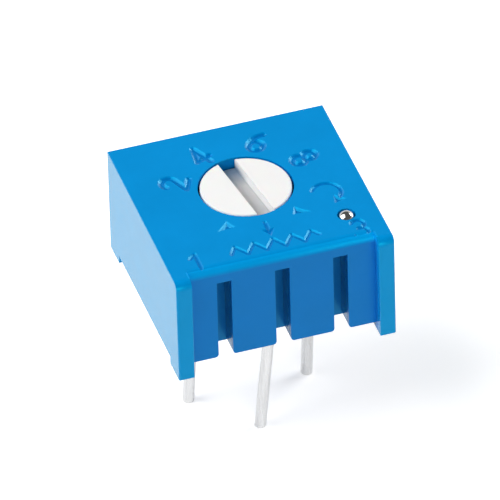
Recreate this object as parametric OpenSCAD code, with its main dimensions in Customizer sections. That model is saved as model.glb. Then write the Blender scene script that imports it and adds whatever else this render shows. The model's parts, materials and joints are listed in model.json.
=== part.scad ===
// Square single-turn trimmer potentiometer, top adjusted, standing on its three leads.
// Millimetres. The floor is z = 0 at the tips of the leads, the origin is under the middle of the case,
// +Y is the back of the case, and the recessed front panel faces -Y.

/* [Case] */
// Side of the square case
case_w = 9.53; // [9.4:0.01:11]
// Height of the case, from the standing feet to the top face
case_h = 5.08; // [4.7:0.01:6]
// Thickness of the roof round the rotor
roof_t = 0.8; // [0.6:0.01:1]
// Thickness of the side and back walls
wall_t = 0.7; // [0.5:0.01:0.75]
// Rounding of the upright outer corners
corner_r = 0.06; // [0.03:0.01:0.4]
// Rounding of the side and back edges of the top face
top_edge_r = 0.05; // [0.03:0.01:0.3]
// Rounding of the front edge of the top face
front_edge_r = 0.4; // [0.2:0.01:0.6]
// Height of the four standing feet
foot_h = 0.38; // [0.2:0.01:0.6]
// Length of a foot along the side of the case
foot_l = 1.22; // [0.8:0.01:2]

/* [Front panel] */
// Width of the post at each end of the front
post_w = 0.69; // [0.5:0.01:1]
// Depth of the panel behind the posts
panel_recess = 0.5; // [0.2:0.01:0.7]
// Width of each upright groove in the panel
groove_w = 0.64; // [0.4:0.01:0.9]
// Depth of each groove behind the panel
groove_depth = 1; // [0.6:0.01:1.1]
// Distance from the top face down to the grooves
groove_drop = 0.78; // [0.6:0.01:1.2]
// Rounding of the panel's lower corners beside the grooves
groove_mouth_r = 0.15; // [0.05:0.01:0.2]
// Web left between a groove and the pocket behind it
groove_web = 0.34; // [0.2:0.01:0.5]

/* [Rotor] */
// Diameter of the rotor where it shows in the top face
rotor_d = 3.87; // [3.6:0.01:4.1]
// Gap all round between the rotor and the roof
rotor_gap = 0.09; // [0.03:0.01:0.15]
// Width of the driver slot
slot_w = 0.79; // [0.5:0.01:0.9]
// Depth of the driver slot
slot_depth = 0.5; // [0.4:0.01:0.9]
// Turn of the driver slot from the front-to-back line as the part stands
slot_turn = 8; // [-20:1:20]
// Diameter of the flange that keeps the rotor in the case
flange_d = 5.9; // [5.7:0.01:6.1]
// Thickness of the flange
flange_t = 0.65; // [0.5:0.01:0.8]
// Diameter of the chamber that the flange turns in
chamber_d = 6.8; // [6.6:0.01:7]
// Half the angle that the case's stop block fills
stop_half = 20; // [12:1:30]
// Half the angle that the flange's lug fills
lug_half = 5; // [3:1:10]
// Up and down play of the rotor
rotor_play = 0.03; // [0.02:0.01:0.08]

/* [Sealing ring] */
// Thickness of the ring's cord
ring_cord = 0.71; // [0.6:0.01:0.8]
// Clearance of the ring in its gland
ring_gap = 0.02; // [0.01:0.01:0.05]

/* [Wiper] */
// Height of the wiper spring as it presses on the element
wiper_h = 0.87; // [0.7:0.01:1.1]
// Thickness of the wiper's sheet
wiper_t = 0.09; // [0.06:0.01:0.12]
// Diameter of the wiper's carrier plate
wiper_d = 3.2; // [3:0.01:3.5]
// Width of one wiper finger
finger_w = 0.13; // [0.08:0.01:0.14]
// Spacing of the wiper fingers
finger_pitch = 0.18; // [0.16:0.01:0.2]
// Diameter of the stakes that hold the wiper on the rotor
stake_d = 0.4; // [0.3:0.01:0.5]

/* [Element] */
// Thickness of the ceramic substrate
ceramic_t = 0.64; // [0.5:0.01:0.8]
// Clearance of the ceramic in its pocket
ceramic_gap = 0.05; // [0.03:0.01:0.1]
// Thickness of the printed films
film_t = 0.03; // [0.02:0.01:0.05]
// Middle diameter of the resistance track
track_d = 3.25; // [3.1:0.01:3.35]
// Width of the resistance track
track_w = 0.55; // [0.4:0.01:0.6]
// Half the angle of the track's gap at the front
track_gap_half = 38; // [32:1:45]
// Diameter of the round collector film
collector_d = 1.3; // [1:0.01:1.6]
// Width of the printed conductors
conductor_w = 0.42; // [0.3:0.01:0.5]

/* [Leads] */
// Diameter of the leads
lead_d = 0.51; // [0.4:0.01:0.6]
// Spacing of the leads, side to side and front to back
lead_pitch = 2.54; // [2.4:0.01:2.6]
// Distance of the middle lead behind the front of the case
lead_from_front = 2.36; // [2.3:0.01:2.6]
// Reach of the leads below the feet
lead_reach = 5.5; // [3:0.01:8]
// How far the left lead's tip has bent to the left
lead_1_left = 0.34; // [0:0.01:0.6]
// How far the left lead's tip has bent to the back
lead_1_back = 0.19; // [0:0.01:0.5]
// How far the middle lead's tip has bent to the left
lead_2_left = 0.52; // [0:0.01:0.6]
// How far the middle lead's tip has bent to the back
lead_2_back = 0.14; // [0:0.01:0.5]
// How far the right lead's tip has bent to the left
lead_3_left = 0.12; // [0:0.01:0.5]
// How far the right lead's tip has bent to the back
lead_3_back = 0.29; // [0:0.01:0.5]
// Clearance of the leads in the ceramic
lead_gap = 0.05; // [0.03:0.01:0.1]
// Distance from the walls' rim up to the sealing resin
seal_recess = 0.2; // [0.1:0.01:0.3]

/* [Vent] */
// Diameter of the vent hole
vent_d = 0.78; // [0.6:0.01:0.9]
// Distance of the vent hole from the right side
vent_from_side = 1.4; // [1.2:0.01:1.6]
// Distance of the vent hole from the front
vent_from_front = 2.14; // [2.1:0.01:2.4]
// Clearance of the ball in the vent hole
ball_gap = 0.01; // [0.005:0.005:0.02]
// Height of the ball's top above the top face
ball_rise = 0.13; // [0:0.01:0.2]

/* [Hidden] */
$fn = 96;
spare = 1;
touch_gap = 0.01;

half_w = case_w / 2;
top_z = lead_reach + case_h;
rim_z = lead_reach + foot_h;
panel_y = panel_recess - half_w;
post_x = half_w - post_w;

// Pocket for the element, and the rotor's axis in the middle of it.
pocket_x = half_w - wall_t;
pocket_front = panel_y + groove_depth + groove_web;
pocket_back = half_w - wall_t;
pocket_r = 0.25;
axis_y = (pocket_front + pocket_back) / 2;

// Heights inside the case, from the roof down.
roof_z = top_z - roof_t;
shoulder_z = roof_z - ring_cord - ring_gap;
flange_top = shoulder_z - rotor_play;
flange_bottom = flange_top - flange_t;
ledge_z = flange_bottom - wiper_h;
film_z = ledge_z + film_t;
ceramic_bottom = ledge_z - ceramic_t;
seal_bottom = rim_z + seal_recess;

// The sealing ring lies round the rotor's neck.
rotor_r = rotor_d / 2;
ring_r = rotor_r + ring_gap + ring_cord / 2;
gland_r = ring_r + ring_cord / 2 + ring_gap;
flange_r = flange_d / 2;
chamber_r = chamber_d / 2;
stop_gap = 0.07;
rotor_chamfer = 0.05;

track_in = (track_d - track_w) / 2;
track_out = (track_d + track_w) / 2;
pad_inner_half = 18;
band_gap = 0.15;
band_in = track_out + band_gap;
band_out = band_in + conductor_w;
pad_r = 0.5;

lead_r = lead_d / 2;
lead_stub = 0.18;
lead_top = film_z + lead_stub;
solder_h = 0.15;
solder_foot = 0.18;
solder_hollow = 0.13;
// Each lead bends just under the resin, where the bend swells it a little.
bend_swell = 0.01;
bend_z = seal_bottom - lead_r - bend_swell - touch_gap;
front_row = lead_from_front - half_w;
LEADS = [[-lead_pitch, front_row + lead_pitch], [0, front_row], [lead_pitch, front_row + lead_pitch]];
SPLAYS = [[-lead_1_left, lead_1_back], [-lead_2_left, lead_2_back], [-lead_3_left, lead_3_back]];

vent_x = half_w - vent_from_side;
vent_y = vent_from_front - half_w;
ball_r = vent_d / 2 - ball_gap;
duct_r = vent_d / 4;
ball_z = top_z + ball_rise - ball_r;
// The ball sits on the mouth of the narrower duct.
ball_seat_z = ball_z - sqrt(ball_r * ball_r - duct_r * duct_r) - touch_gap;
duct_h = 0.25;

stake_r = stake_d / 2;
stake_x = 0.95;
stake_head_r = stake_r + 0.1;
stake_head_h = 0.07;
// A finger runs flat for finger_knee, slopes down, lies flat for finger_tail and turns up at its end.
finger_knee = 0.2;
finger_tail = 0.14;
track_root = 0.22;
collector_root = 0.2 - wiper_d / 2;
window_side = 0.05;

// What a rounded outline loses at one corner: corner p points outwards along dir.
module corner_off(p, dir, r, past = spare) {
    translate([p.x - dir.x * r, p.y - dir.y * r])
        difference() {
            translate([min(dir.x, 0) * (r + past), min(dir.y, 0) * (r + past)])
                square(r + past);
            circle(r);
        }
}

// Rectangle from low to high with its four corners rounded.
module rounded_rect(low, high, r) {
    difference() {
        translate(low)
            square(high - low);
        for (sx = [-1, 1], sy = [-1, 1])
            corner_off([sx < 0 ? low.x : high.x, sy < 0 ? low.y : high.y], [sx, sy], r);
    }
}

// Ring from radius r_in to r_out between two angles less than a half turn apart.
module ring_sector(r_in, r_out, from, to) {
    far = 3 * r_out;
    intersection() {
        difference() {
            circle(r_out);
            circle(r_in);
        }
        polygon([[0, 0], for (a = [from, (from + to) / 2, to]) far * [cos(a), sin(a)]]);
    }
}

// Outline of the case seen from above, with the recess between the two posts.
module case_plan() {
    difference() {
        rounded_rect([-half_w, -half_w], [half_w, half_w], corner_r);
        translate([-post_x, -half_w - spare])
            square([2 * post_x, spare + panel_recess]);
        for (s = [-1, 1])
            corner_off([s * post_x, -half_w], [-s, -1], corner_r / 2);
    }
}

// A straight cutter along Y whose section in X and Z is its child.
module along_y(length) {
    translate([0, length / 2, 0])
        rotate([90, 0, 0])
            linear_extrude(length)
                children();
}

// A straight cutter along X whose section in Y and Z is its child.
module along_x(length) {
    translate([-length / 2, 0, 0])
        rotate([90, 0, 90])
            linear_extrude(length)
                children();
}

module case_block() {
    difference() {
        translate([0, 0, rim_z])
            linear_extrude(top_z - rim_z)
                case_plan();
        for (s = [-1, 1])
            along_y(case_w + 2 * spare)
                corner_off([s * half_w, top_z], [s, 1], top_edge_r);
        along_x(case_w + 2 * spare)
            corner_off([half_w, top_z], [1, 1], top_edge_r);
        along_x(case_w + 2 * spare)
            corner_off([-half_w, top_z], [-1, 1], min(front_edge_r, panel_recess));
        along_x(2 * post_x)
            corner_off([panel_y, top_z], [-1, 1], front_edge_r);
    }
}

module feet() {
    translate([0, 0, lead_reach])
        linear_extrude(foot_h)
            intersection() {
                case_plan();
                for (sx = [-1, 1], sy = [-1, 1])
                    translate([sx * (half_w - post_w / 2), sy * (half_w - foot_l / 2)])
                        square([post_w, foot_l], center = true);
            }
}

// The upright grooves, each in line with a lead, with their mouths rounded at the bottom.
module grooves() {
    for (lead = LEADS) {
        translate([lead.x - groove_w / 2, panel_y - spare, rim_z - spare])
            cube([groove_w, groove_depth + spare, top_z - groove_drop - rim_z + spare]);
        for (s = [-1, 1])
            translate([0, panel_y + (groove_depth - spare) / 2, 0])
                along_y(groove_depth + spare)
                    corner_off([lead.x + s * groove_w / 2, rim_z], [-s, -1], groove_mouth_r, groove_w / 2);
    }
}

// The bore for the rotor, the ring's gland and the chamber with its stop block.
module rotor_room() {
    translate([0, axis_y, 0]) {
        translate([0, 0, roof_z - spare])
            cylinder(r = rotor_r + rotor_gap, h = roof_t + 2 * spare);
        translate([0, 0, shoulder_z - spare / 2])
            cylinder(r = gland_r, h = roof_z - shoulder_z + spare / 2);
        difference() {
            translate([0, 0, ledge_z - spare / 2])
                cylinder(r = chamber_r, h = shoulder_z - ledge_z + spare / 2);
            translate([0, 0, flange_bottom])
                linear_extrude(shoulder_z - flange_bottom + spare)
                    ring_sector(flange_r + stop_gap, chamber_r + spare, -90 - stop_half, -90 + stop_half);
        }
    }
}

// Room over the end of each lead, clear of its film and its solder.
module lead_rooms() {
    for (lead = LEADS)
        translate([lead.x, lead.y, ledge_z - spare / 2])
            cylinder(r = pad_r + lead_gap, h = lead_top - ledge_z + lead_gap + spare / 2);
}

module pocket_plan(inset) {
    rounded_rect([-pocket_x + inset, pocket_front + inset], [pocket_x - inset, pocket_back - inset], pocket_r);
}

// The ball's hole, the duct under it and the channel from the duct to the chamber.
module vent_way() {
    run = norm([vent_x, vent_y - axis_y]) - chamber_r + spare / 2;
    heading = atan2(axis_y - vent_y, -vent_x);
    translate([vent_x, vent_y, 0]) {
        translate([0, 0, ball_seat_z])
            cylinder(d = vent_d, h = top_z - ball_seat_z + spare);
        translate([0, 0, ledge_z - touch_gap])
            cylinder(r = duct_r, h = ball_seat_z - ledge_z + 2 * touch_gap);
        rotate([0, 0, heading])
            translate([0, -duct_r, ledge_z - touch_gap])
                cube([run, 2 * duct_r, duct_h]);
    }
}

module housing() {
    color([0.0, 0.5, 0.82])
        difference() {
            union() {
                case_block();
                feet();
            }
            translate([0, 0, lead_reach - spare])
                linear_extrude(ledge_z - lead_reach + spare)
                    pocket_plan(0);
            rotor_room();
            lead_rooms();
            grooves();
            vent_way();
        }
}

module on_rotor_axis() {
    translate([0, axis_y, 0])
        rotate([0, 0, slot_turn])
            children();
}

module rotor() {
    color([0.95, 0.95, 0.93])
        on_rotor_axis() {
            difference() {
                union() {
                    rotate_extrude()
                        polygon([[0, flange_bottom], [flange_r, flange_bottom], [flange_r, flange_top],
                            [rotor_r, flange_top], [rotor_r, top_z - rotor_chamfer],
                            [rotor_r - rotor_chamfer, top_z], [0, top_z]]);
                    translate([0, 0, flange_bottom])
                        linear_extrude(flange_t)
                            ring_sector(flange_r / 2, chamber_r - stop_gap, 90 - lug_half, 90 + lug_half);
                }
                translate([-slot_w / 2, -rotor_r - spare, top_z - slot_depth])
                    cube([slot_w, 2 * (rotor_r + spare), slot_depth + spare]);
            }
            for (s = [-1, 1])
                translate([s * stake_x, 0, flange_bottom - wiper_t - touch_gap])
                    rotate_extrude()
                        polygon([[0, wiper_t + touch_gap], [stake_r, wiper_t + touch_gap], [stake_r, 0],
                            [stake_head_r, 0], [stake_r, -stake_head_h], [0, -stake_head_h]]);
        }
}

module o_ring() {
    color([0.12, 0.12, 0.13])
        translate([0, axis_y, roof_z - ring_gap / 2 - ring_cord / 2])
            rotate_extrude()
                translate([ring_r, 0])
                    circle(d = ring_cord);
}

// One spring finger: a bent strip from its root on the plate down to its contact at distance tip.
module finger(root, tip) {
    drop = wiper_h - film_t - wiper_t - 2 * touch_gap;
    path = [[root, 0], [root + finger_knee, 0], [tip - finger_tail / 2, -drop], [tip + finger_tail / 2, -drop],
        [tip + finger_tail, finger_tail / 2 - drop]];
    count = len(path);
    translate([-finger_w / 2, 0, flange_bottom])
        rotate([90, 0, 90])
            linear_extrude(finger_w)
                polygon([for (p = path) p, for (i = [count - 1:-1:0]) path[i] - [0, wiper_t]]);
}

module wiper_spring() {
    track_fingers = [-1.5, -0.5, 0.5, 1.5];
    collector_fingers = [-0.5, 0.5];
    track_window = len(track_fingers) * finger_pitch + 2 * window_side;
    collector_window = len(collector_fingers) * finger_pitch + 2 * window_side;
    color([0.8, 0.7, 0.45])
        on_rotor_axis() {
            translate([0, 0, flange_bottom - wiper_t])
                linear_extrude(wiper_t)
                    difference() {
                        circle(d = wiper_d);
                        for (s = [-1, 1])
                            translate([s * stake_x, 0])
                                circle(stake_r + touch_gap);
                        translate([-track_window / 2, track_root + finger_knee])
                            square([track_window, wiper_d]);
                        translate([-collector_window / 2, collector_root + finger_knee])
                            square([collector_window, -collector_root - finger_knee + finger_tail / 2]);
                    }
            for (k = track_fingers)
                translate([k * finger_pitch, 0, 0])
                    finger(track_root, track_d / 2);
            for (k = collector_fingers)
                translate([k * finger_pitch, 0, 0])
                    finger(collector_root, -finger_tail);
        }
}

module ceramic_substrate() {
    color([0.93, 0.92, 0.88])
        translate([0, 0, ceramic_bottom])
            linear_extrude(ceramic_t)
                difference() {
                    pocket_plan(ceramic_gap);
                    for (lead = LEADS)
                        translate(lead)
                            circle(lead_r + lead_gap);
                }
}

// A film printed on the ceramic, in the rotor's place.
module film(shade) {
    color(shade)
        translate([0, axis_y, ledge_z])
            linear_extrude(film_t)
                children();
}

module resistance_track() {
    film([0.15, 0.14, 0.13])
        difference() {
            circle(track_out);
            circle(track_in);
            polygon([[0, 0], for (a = [-track_gap_half, 0, track_gap_half]) 3 * track_out * [sin(a), -cos(a)]]);
        }
}

// Film that joins one end of the track to its lead; side is -1 on the left and 1 on the right.
module end_pad(side, lead) {
    at = [lead.x, lead.y - axis_y];
    lead_angle = atan2(at.y, at.x * side);
    film([0.75, 0.75, 0.72])
        difference() {
            union() {
                mirror([side < 0 ? 1 : 0, 0])
                    ring_sector(track_in, band_out, -90 + pad_inner_half, -90 + track_gap_half);
                mirror([side < 0 ? 1 : 0, 0])
                    ring_sector(band_in, band_out, -90 + pad_inner_half, lead_angle);
                translate(at)
                    circle(pad_r);
            }
            translate(at)
                circle(lead_r + lead_gap);
        }
}

module end_pad_1() {
    end_pad(-1, LEADS[0]);
}

module end_pad_3() {
    end_pad(1, LEADS[2]);
}

module collector_pad() {
    at = LEADS[1] - [0, axis_y];
    film([0.75, 0.75, 0.72])
        difference() {
            union() {
                circle(d = collector_d);
                translate([-conductor_w / 2, at.y])
                    square([conductor_w, -at.y]);
                translate(at)
                    circle(pad_r);
            }
            translate(at)
                circle(lead_r + lead_gap);
        }
}

// A round lead, upright in the case, bent a little below it and cut off level with the floor.
module lead(i) {
    lean = norm(SPLAYS[i]);
    heading = atan2(SPLAYS[i].y, SPLAYS[i].x);
    color([0.8, 0.8, 0.8])
        translate([LEADS[i].x, LEADS[i].y, 0])
            difference() {
                translate([0, 0, bend_z]) {
                    cylinder(r = lead_r, h = lead_top - bend_z);
                    sphere(lead_r + bend_swell);
                    rotate([0, 180 - atan2(lean, bend_z), heading])
                        cylinder(r = lead_r, h = norm([lean, bend_z]) + spare);
                }
                translate([-case_w, -case_w, -2 * spare])
                    cube([2 * case_w, 2 * case_w, 2 * spare]);
            }
}

module lead_1() {
    lead(0);
}

module lead_2() {
    lead(1);
}

module lead_3() {
    lead(2);
}

// Solder drawn up round the end of a lead where it comes through its film.
module solder_joint(i) {
    inner = lead_r + touch_gap;
    outer = lead_r + solder_foot;
    color([0.7, 0.7, 0.72])
        translate([LEADS[i].x, LEADS[i].y, film_z])
            rotate_extrude()
                difference() {
                    translate([inner, 0])
                        square([outer - inner, solder_h]);
                    translate([outer, solder_h])
                        circle(solder_hollow);
                }
}

module solder_joint_1() {
    solder_joint(0);
}

module solder_joint_2() {
    solder_joint(1);
}

module solder_joint_3() {
    solder_joint(2);
}

module base_seal() {
    color([0.1, 0.25, 0.45])
        translate([0, 0, seal_bottom])
            linear_extrude(ceramic_bottom - seal_bottom)
                difference() {
                    pocket_plan(0);
                    for (lead = LEADS)
                        translate(lead)
                            circle(lead_r + touch_gap);
                }
}

module vent_ball() {
    color([0.75, 0.75, 0.77])
        translate([vent_x, vent_y, ball_z])
            sphere(ball_r);
}

housing();
rotor();
o_ring();
wiper_spring();
ceramic_substrate();
resistance_track();
end_pad_1();
end_pad_3();
collector_pad();
lead_1();
lead_2();
lead_3();
solder_joint_1();
solder_joint_2();
solder_joint_3();
base_seal();
vent_ball();
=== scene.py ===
"""Studio scene of a square, top-adjusted trimmer potentiometer that stands on its three leads.

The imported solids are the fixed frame. The case, the rotor, the leads and the vent ball get finer meshes
of the same form, the case gets its sunk marks, and every piece gets a finish of its own. Sizes are in
millimetres and are turned into metres where Blender takes them. The front panel faces -Y, and the floor
is z = 0.
"""

import json
import logging
import math
from dataclasses import dataclass
from enum import Enum
from typing import Any, Callable, Sequence

import bmesh
import bpy
import numpy as np
from mathutils import Matrix, Vector


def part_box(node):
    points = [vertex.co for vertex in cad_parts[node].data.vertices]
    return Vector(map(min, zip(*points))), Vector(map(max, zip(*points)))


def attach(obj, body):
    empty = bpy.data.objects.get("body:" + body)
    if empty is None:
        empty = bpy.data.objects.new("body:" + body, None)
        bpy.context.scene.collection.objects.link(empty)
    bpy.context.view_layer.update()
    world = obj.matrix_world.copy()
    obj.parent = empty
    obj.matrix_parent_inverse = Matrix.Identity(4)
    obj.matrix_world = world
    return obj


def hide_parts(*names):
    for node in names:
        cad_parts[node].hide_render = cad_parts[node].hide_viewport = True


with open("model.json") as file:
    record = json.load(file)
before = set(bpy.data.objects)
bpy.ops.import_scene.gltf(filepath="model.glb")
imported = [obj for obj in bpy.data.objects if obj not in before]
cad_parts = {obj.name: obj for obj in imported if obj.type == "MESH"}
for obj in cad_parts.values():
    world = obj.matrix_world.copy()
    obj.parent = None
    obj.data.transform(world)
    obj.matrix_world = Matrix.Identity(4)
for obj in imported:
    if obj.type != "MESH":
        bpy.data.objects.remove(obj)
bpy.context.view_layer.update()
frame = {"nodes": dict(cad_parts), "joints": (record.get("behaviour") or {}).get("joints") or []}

MM = 0.001
MERGE = 0.0001 * MM
FULL_TURN = 2 * np.pi
LOG = logging.getLogger("trimmer")
Point = tuple[float, float, float]
Colour = tuple[float, float, float]
Grid = tuple[np.ndarray, np.ndarray]
WHITE: Colour = (1.0, 1.0, 1.0)


class Body(Enum):
    """The bodies of the part that a piece can ride on."""

    CASE = "case"
    ROTOR = "rotor"


# ---- Meshes ----


def node_box(name: str) -> tuple[np.ndarray, np.ndarray]:
    """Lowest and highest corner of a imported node.

    Args:
        name: Name of the node.

    Returns:
        The two corners in millimetres.
    """
    low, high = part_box(name)
    return np.array(low) / MM, np.array(high) / MM


def sheet_faces(rows: int, columns: int, wrap_rows: bool = False, wrap_columns: bool = False) -> np.ndarray:
    """Quads that join a grid of points to its next row and its next column.

    Args:
        rows: Number of rows of points.
        columns: Number of points in a row.
        wrap_rows: Whether the last row is joined to the first.
        wrap_columns: Whether the last point of a row is joined to its first.

    Returns:
        An array with four point numbers for each quad.
    """
    first_row = np.arange(rows if wrap_rows else rows - 1)
    first_column = np.arange(columns if wrap_columns else columns - 1)
    r, c = np.meshgrid(first_row, first_column, indexing="ij")
    below, beside = (r + 1) % rows, (c + 1) % columns
    quads = [r * columns + c, r * columns + beside, below * columns + beside, below * columns + c]
    return np.stack(quads, axis=-1).reshape(-1, 4)


def mesh_of(name: str, grid: Grid) -> bpy.types.Mesh:
    """One closed mesh from a grid of points.

    Points that lie together are merged, faces without area are dropped, and the faces are turned outwards.

    Args:
        name: Name of the mesh.
        grid: Points in millimetres, and faces.

    Returns:
        The mesh in metres.
    """
    points, faces = grid
    mesh = bpy.data.meshes.new(name)
    mesh.from_pydata((points.reshape(-1, 3) * MM).tolist(), [], faces.tolist())
    work = bmesh.new()
    work.from_mesh(mesh)
    bmesh.ops.remove_doubles(work, verts=work.verts, dist=MERGE)
    bmesh.ops.dissolve_degenerate(work, edges=work.edges, dist=MERGE)
    bmesh.ops.recalc_face_normals(work, faces=work.faces)
    work.to_mesh(mesh)
    work.free()
    return mesh


def revolve(profile: np.ndarray, centre: Sequence[float], steps: int) -> Grid:
    """Surface of revolution: the point at turn t and profile place (r, z) is centre + (r cos t, r sin t), z.

    Args:
        profile: Radius and height of each place along the profile, in millimetres.
        centre: X and Y of the axis.
        steps: Number of steps round the axis.

    Returns:
        Points and faces.
    """
    turn = np.linspace(0, FULL_TURN, steps, endpoint=False)
    r, t = np.meshgrid(profile[:, 0], turn, indexing="ij")
    z = np.repeat(profile[:, 1:2], steps, axis=1)
    points = np.stack([centre[0] + r * np.cos(t), centre[1] + r * np.sin(t), z], axis=-1)
    return points, sheet_faces(*r.shape, wrap_columns=True)


def arc(centre: Sequence[float], radius: float, start: float, end: float, steps: int) -> np.ndarray:
    """Points along an arc: centre + radius times (cos a, sin a).

    Args:
        centre: Middle of the arc.
        radius: Radius of the arc.
        start: First angle in degrees.
        end: Last angle in degrees.
        steps: Number of points.

    Returns:
        One point for each row.
    """
    a = np.radians(np.linspace(start, end, steps))
    return np.stack([centre[0] + radius * np.cos(a), centre[1] + radius * np.sin(a)], axis=-1)


def lofted(middle: np.ndarray, rings: Sequence[tuple[np.ndarray, float]]) -> Grid:
    """Closed solid through rings of points, with its two ends closed by fans from the middle.

    Args:
        middle: X and Y of the middle.
        rings: X and Y of the points of each ring, and its height, from the bottom up.

    Returns:
        Points and faces.
    """
    fan = np.broadcast_to(middle, rings[0][0].shape)
    rings = [(fan, rings[0][1]), *rings, (fan, rings[-1][1])]
    points = np.stack([np.column_stack([ring, np.full(len(ring), z)]) for ring, z in rings])
    return points, sheet_faces(len(rings), len(fan), wrap_columns=True)


def extrude(outline: np.ndarray, low: float, high: float) -> Grid:
    """Closed prism: the outline at heights low and high."""
    return lofted(outline.mean(axis=0), [(outline, low), (outline, high)])


def turn_matrix(turn_deg: float) -> np.ndarray:
    """Matrix that turns the rows of a table of X and Y to the left, as rows @ matrix."""
    a = math.radians(turn_deg)
    return np.array([[math.cos(a), math.sin(a)], [-math.sin(a), math.cos(a)]])


def rectangle(half_w: float, half_l: float) -> np.ndarray:
    """Corners of a rectangle round the origin, counter-clockwise."""
    return np.array([[-half_w, -half_l], [half_w, -half_l], [half_w, half_l], [-half_w, half_l]])


def across(vectors: np.ndarray) -> np.ndarray:
    """Vectors of a plane turned a quarter turn to the left."""
    return np.stack([-vectors[..., 1], vectors[..., 0]], axis=-1)


def groove(path: np.ndarray, z: float, half_w: float, depth: float, closed: bool = False) -> Grid:
    """Closed solid whose underside is a rounded groove along a path in a flat face at height z.

    Across the line, t goes from 1 on its left to -1 on its right, and the underside is the path's point plus
    t half_w times a side vector. It has a flat floor and straight flanks that meet in a round: with
    v = (|t| - floor) / 2 the section rises as h(t) = v + sqrt(v^2 + bend^2), and the depth under the face
    is depth times 1 - (1 + spare) (h(t) - h(0)) / (h(1) - h(0)), so that the rims come up through the face.
    On a straight run both side vectors are the normal n. At a corner the inner side keeps the mitre
    (n1 + n2) / (1 + n1 . n2), and the outer side turns from n1 to n2 in even steps. An open line ends
    round: at angle f the section is moved on by half_w sin f, made smaller by cos f and lifted a little.
    Above, the solid is closed flat, at lid times the depth over the face.

    Args:
        path: X and Y of the corners, in millimetres.
        z: Height of the face.
        half_w: Half the line's width.
        depth: Depth of the groove's bottom under the face.
        closed: Whether the last point is joined to the first.

    Returns:
        Points and faces.
    """
    steps, columns, floor, bend, spare, lid = 3, 13, 0.3, 0.08, 0.12, 0.5
    runs = np.diff(np.concatenate([path, path[:1]]) if closed else path, axis=0)
    runs /= np.linalg.norm(runs, axis=1, keepdims=True)
    before = np.roll(runs, 1, axis=0) if closed else runs[:-1]
    after = runs if closed else runs[1:]
    corners = path if closed else path[1:-1]
    n1, n2 = across(before), across(after)
    turn = np.arctan2(-(before * n2).sum(1), (before * after).sum(1))
    mitre = (n1 + n2) / (1 + (n1 * n2).sum(1, keepdims=True))
    part = np.linspace(0, 1, steps + 1)
    a = turn[:, None] * part
    turned = n1[:, None] * np.cos(a)[..., None] + across(n1)[:, None] * np.sin(a)[..., None]
    inner = np.broadcast_to(mitre[:, None], turned.shape)
    to_left = (turn > 0)[:, None, None]
    left = np.where(to_left, inner, turned).reshape(-1, 2)
    right = np.where(to_left, turned, inner).reshape(-1, 2)
    places = np.repeat(corners, steps + 1, axis=0)
    if not closed:
        f = part[:, None] * np.pi / 2
        first, last = across(runs[:1]), across(runs[-1:])
        places = np.concatenate([path[:1] - runs[:1] * half_w * np.cos(f), places,
                                 path[-1:] + runs[-1:] * half_w * np.sin(f)])
        left = np.concatenate([first * np.sin(f), left, last * np.cos(f)])
        right = np.concatenate([first * np.sin(f), right, last * np.cos(f)])
    size = np.ones(len(places))
    if not closed:
        size[:steps + 1], size[-steps - 1:] = np.sin(f[:, 0]), np.cos(f[:, 0])
    t = np.linspace(1, -1, columns)
    t = np.concatenate([t[:1], t, t[-1:]])
    v = (np.abs([*t, 0.0, 1.0]) - floor) / 2
    *rise, low, high = v + np.sqrt(v**2 + bend**2)
    side = np.where(t[None, :, None] > 0, left[:, None], right[:, None])
    flat = places[:, None] + half_w * t[None, :, None] * side
    curve = 1 - (1 + spare) * (np.array(rise) - low) / (high - low)
    drop = depth * (curve * size[:, None] - spare * (1 - size[:, None]))
    drop[:, [0, -1]] = -lid * depth
    points = np.concatenate([flat, z - drop[..., None]], axis=-1)
    return points, sheet_faces(*drop.shape, wrap_rows=closed, wrap_columns=True)


def pocket(outline: np.ndarray, z: float, inset: float, depth: float) -> Grid:
    """Closed solid whose underside is a flat pocket with sloping sides in a flat face at height z.

    A corner of the outline moves by an amount times the mitre of its two inward normals: by the inset at
    the floor, and outwards on the same slope over the face.

    Args:
        outline: X and Y of the corners in the face, counter-clockwise, in millimetres.
        z: Height of the face.
        inset: Distance by which the floor's edges lie inside the outline.
        depth: Depth of the floor under the face.

    Returns:
        Points and faces.
    """
    runs = np.roll(outline, -1, axis=0) - outline
    runs /= np.linalg.norm(runs, axis=1, keepdims=True)
    n2 = across(runs)
    n1 = np.roll(n2, 1, axis=0)
    mitre = (n1 + n2) / (1 + (n1 * n2).sum(1, keepdims=True))
    above = 0.3
    rim, floor = outline - above * inset * mitre, outline + inset * mitre
    return lofted(outline.mean(axis=0), [(floor, z - depth), (rim, z + above * depth)])


def applied(piece: bpy.types.Object, name: str) -> bpy.types.Mesh:
    """A piece's mesh with its modifiers applied, as a new mesh of the given name."""
    mesh = bpy.data.meshes.new_from_object(piece.evaluated_get(bpy.context.evaluated_depsgraph_get()))
    mesh.name = name
    return mesh


def read(items: Any, name: str, kind: type = float, width: int = 3) -> np.ndarray:
    """A property of each item: one row of numbers an item, or one number an item where the width is 1."""
    values = np.empty(len(items) * width, dtype=kind)
    items.foreach_get(name, values)
    return values.reshape(-1, width) if width > 1 else values


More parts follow.
